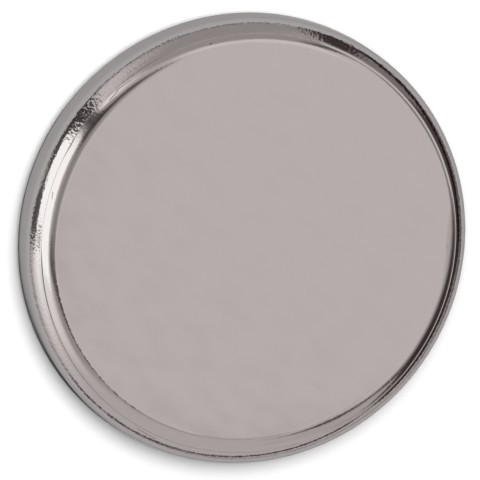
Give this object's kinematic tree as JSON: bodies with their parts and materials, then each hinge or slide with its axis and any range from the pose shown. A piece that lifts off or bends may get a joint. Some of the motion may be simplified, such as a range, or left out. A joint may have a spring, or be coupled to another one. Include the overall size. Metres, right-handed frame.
{
  "type": "disc magnet",
  "caption": "Thin round disc magnet, nickel plated, flat on both faces, with rounded edges and a fine step around each face.",
  "frame": {"origin": "centre of the lower face, which the disc rests on", "axes": "+Z is the disc's axis, from the lower face to the upper; X and Y are any two directions across it"},
  "size_m": [0.012, 0.012, 0.0015],
  "materials": {
    "nickel_plate": "bright nickel plate with fine handling marks"
  },
  "bodies": {
    "root": {"magnet_disc": "nickel_plate"}
  },
  "joints": []
}
